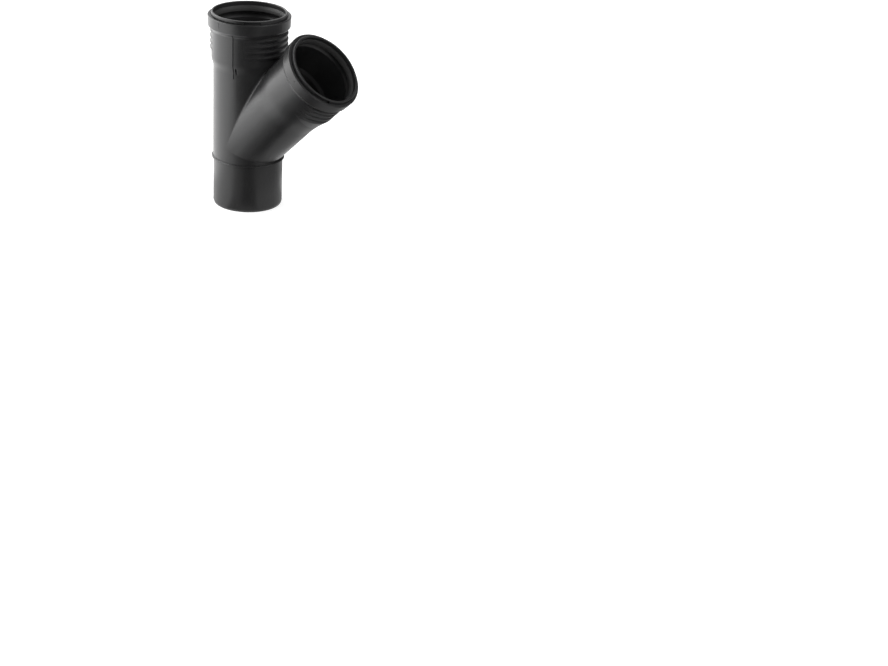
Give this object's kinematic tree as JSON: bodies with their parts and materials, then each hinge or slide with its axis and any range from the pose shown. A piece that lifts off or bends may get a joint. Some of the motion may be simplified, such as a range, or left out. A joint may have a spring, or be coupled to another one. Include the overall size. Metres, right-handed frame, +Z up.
{
  "type": "lateral wye fitting",
  "caption": "Push-fit drainage branch: a straight run with a spigot and a socket, and an equal branch at 45 degrees with a socket; lip seals in both sockets.",
  "frame": {"origin": "on the run's axis, in the plane of the shoulder under the stop ring, where the next socket's rim ends", "axes": "+Z up the run from the spigot to the run's socket, +X towards the side the branch leans to, Y across; the part is symmetric about the XZ plane apart from small marks"},
  "size_m": [0.1759, 0.0884, 0.2136],
  "materials": {
    "moulded_plastic": "black moulded polypropylene, satin",
    "seal_rubber": "black elastomer, dull"
  },
  "bodies": {
    "root": {"wye_body": "moulded_plastic", "run_socket_seal": "seal_rubber", "branch_socket_seal": "seal_rubber"}
  },
  "joints": []
}
